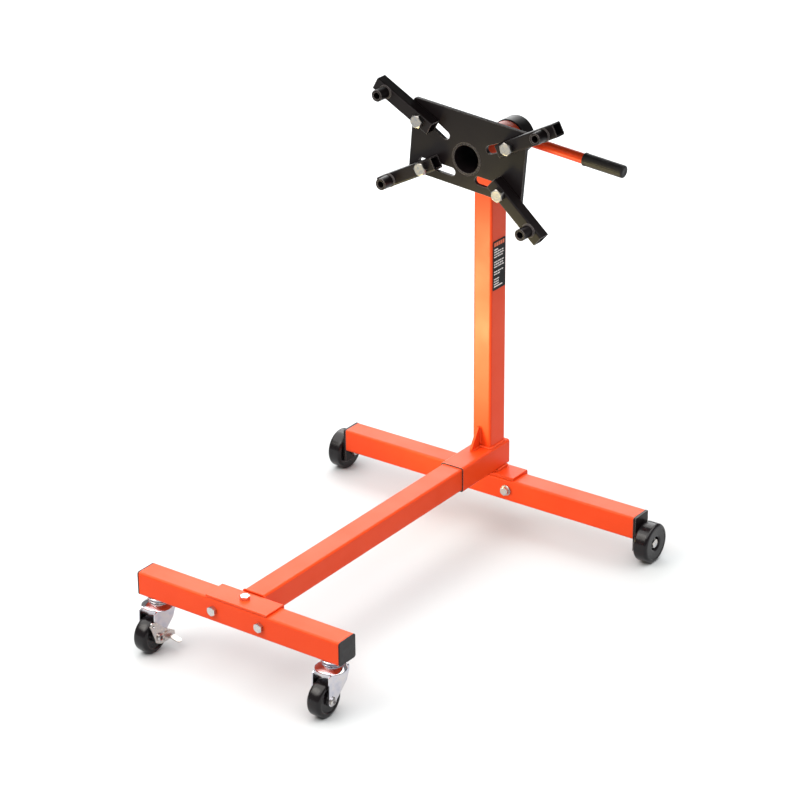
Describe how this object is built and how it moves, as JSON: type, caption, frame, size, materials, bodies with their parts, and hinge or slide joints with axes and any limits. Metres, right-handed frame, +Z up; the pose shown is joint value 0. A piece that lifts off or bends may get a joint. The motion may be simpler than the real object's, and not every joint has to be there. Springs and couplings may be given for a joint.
{
  "type": "engine stand",
  "caption": "Rolling engine stand: T-shaped tube base on wheels, upright post and a turning head plate with slotted adjustable arms and a turning handle.",
  "frame": {"origin": "on the floor, under the centre of the bounding box", "axes": "+Z up; -Y is the side the engine hangs on and where the swivel casters are; X runs across the stand, with the handle towards +X"},
  "size_m": [0.731, 0.896, 0.867],
  "materials": {
    "orange_paint": "gloss powder coat",
    "black_paint": "satin powder coat",
    "zinc": "bright zinc plate",
    "chrome": "polished nickel chrome",
    "black_plastic": "moulded, fine grain",
    "wheel_plastic": "moulded, gloss",
    "grip_rubber": "matt",
    "label_film": "printed film"
  },
  "bodies": {
    "frame": {"front_crossbar": "orange_paint", "front_cap_left": "black_plastic", "front_cap_right": "black_plastic", "centre_beam": "orange_paint", "front_saddle": "orange_paint", "front_bolt_left": "zinc", "front_bolt_right": "zinc", "front_bolt_top": "zinc", "front_nut_left": "zinc", "front_nut_right": "zinc", "front_nut_top": "zinc", "rear_crossbar": "orange_paint", "rear_saddle": "orange_paint", "rear_bolt_left": "zinc", "rear_bolt_right": "zinc", "rear_nut_left": "zinc", "rear_nut_right": "zinc", "base_sleeve": "orange_paint", "sleeve_bolt": "zinc", "beam_end_cap": "black_plastic", "post": "orange_paint", "post_gusset": "orange_paint", "warning_label": "label_film", "axle_bracket_left": "black_paint", "axle_bracket_right": "black_paint", "rear_axle_left": "zinc", "rear_axle_right": "zinc", "rear_axle_nut_left": "zinc", "rear_axle_nut_right": "zinc", "caster_race_left": "chrome", "caster_race_right": "chrome", "head_tube": "orange_paint"},
    "head": {"mounting_plate": "black_paint", "rotor_tube": "black_paint", "rear_collar": "black_paint", "handle_bar": "orange_paint", "handle_grip": "grip_rubber"},
    "pin": {"lock_pin": "zinc"},
    "swivel_left": {"caster_fork_left": "chrome", "caster_axle_left": "zinc"},
    "swivel_right": {"caster_fork_right": "chrome", "caster_axle_right": "zinc"},
    "front_wheel_left": {"caster_wheel_left": "wheel_plastic"},
    "front_wheel_right": {"caster_wheel_right": "wheel_plastic"},
    "back_wheel_left": {"rear_wheel_left": "wheel_plastic"},
    "back_wheel_right": {"rear_wheel_right": "wheel_plastic"},
    "brake": {"brake_lever": "zinc"},
    "clamp_upper_left": {"arm_bolt_upper_left": "zinc", "arm_nut_upper_left": "zinc"},
    "arm_body_upper_left": {"arm_upper_left": "black_paint"},
    "clamp_lower_left": {"arm_bolt_lower_left": "zinc", "arm_nut_lower_left": "zinc"},
    "arm_body_lower_left": {"arm_lower_left": "black_paint"},
    "clamp_upper_right": {"arm_bolt_upper_right": "zinc", "arm_nut_upper_right": "zinc"},
    "arm_body_upper_right": {"arm_upper_right": "black_paint"},
    "clamp_lower_right": {"arm_bolt_lower_right": "zinc", "arm_nut_lower_right": "zinc"},
    "arm_body_lower_right": {"arm_lower_right": "black_paint"}
  },
  "joints": [
    {"name": "head_spin", "type": "hinge", "parent": "frame", "child": "head", "pos_m": [0, 0.433, 0.741], "axis": [0, 1, 0], "continuous": true},
    {"name": "lock_pin_pull", "type": "slide", "parent": "frame", "child": "pin", "axis": [-1, 0, 0], "range_m": [0, 0.025]},
    {"name": "slot_slide_upper_left", "type": "slide", "parent": "head", "child": "clamp_upper_left", "axis": [-0.8453, 0, 0.5344], "range_m": [-0.018, 0.012]},
    {"name": "arm_pivot_upper_left", "type": "hinge", "parent": "clamp_upper_left", "child": "arm_body_upper_left", "pos_m": [-0.08656, 0.266, 0.80394], "axis": [0, 1, 0], "range_deg": [-40, 40]},
    {"name": "slot_slide_lower_left", "type": "slide", "parent": "head", "child": "clamp_lower_left", "axis": [-0.9957, 0, 0.0924], "range_m": [-0.024, 0.016]},
    {"name": "arm_pivot_lower_left", "type": "hinge", "parent": "clamp_lower_left", "child": "arm_body_lower_left", "pos_m": [-0.07922, 0.266, 0.71521], "axis": [0, 1, 0], "range_deg": [-40, 40]},
    {"name": "slot_slide_upper_right", "type": "slide", "parent": "head", "child": "clamp_upper_right", "axis": [0.9291, 0, 0.3697], "range_m": [-0.024, 0.004]},
    {"name": "arm_pivot_upper_right", "type": "hinge", "parent": "clamp_upper_right", "child": "arm_body_upper_right", "pos_m": [0.105, 0.266, 0.79026], "axis": [0, 1, 0], "range_deg": [-40, 40]},
    {"name": "slot_slide_lower_right", "type": "slide", "parent": "head", "child": "clamp_lower_right", "axis": [0.9957, 0, -0.0924], "range_m": [-0.036, 0.001]},
    {"name": "arm_pivot_lower_right", "type": "hinge", "parent": "clamp_lower_right", "child": "arm_body_lower_right", "pos_m": [0.08756, 0.266, 0.69974], "axis": [0, 1, 0], "range_deg": [-40, 40]},
    {"name": "caster_swivel_left", "type": "hinge", "parent": "frame", "child": "swivel_left", "pos_m": [-0.189, -0.386, 0.09], "axis": [0, 0, 1], "continuous": true},
    {"name": "caster_roll_left", "type": "hinge", "parent": "swivel_left", "child": "front_wheel_left", "pos_m": [-0.189, -0.415, 0.033], "axis": [1, 0, 0], "continuous": true},
    {"name": "rear_roll_left", "type": "hinge", "parent": "frame", "child": "back_wheel_left", "pos_m": [-0.3505, 0.369, 0.038], "axis": [1, 0, 0], "continuous": true},
    {"name": "caster_swivel_right", "type": "hinge", "parent": "frame", "child": "swivel_right", "pos_m": [0.189, -0.386, 0.09], "axis": [0, 0, 1], "continuous": true},
    {"name": "caster_roll_right", "type": "hinge", "parent": "swivel_right", "child": "front_wheel_right", "pos_m": [0.189, -0.415, 0.033], "axis": [1, 0, 0], "continuous": true},
    {"name": "rear_roll_right", "type": "hinge", "parent": "frame", "child": "back_wheel_right", "pos_m": [0.3505, 0.369, 0.038], "axis": [1, 0, 0], "continuous": true},
    {"name": "brake_lift", "type": "hinge", "parent": "swivel_left", "child": "brake", "pos_m": [-0.168, -0.415, 0.033], "axis": [1, 0, 0], "range_deg": [0, 30]}
  ]
}
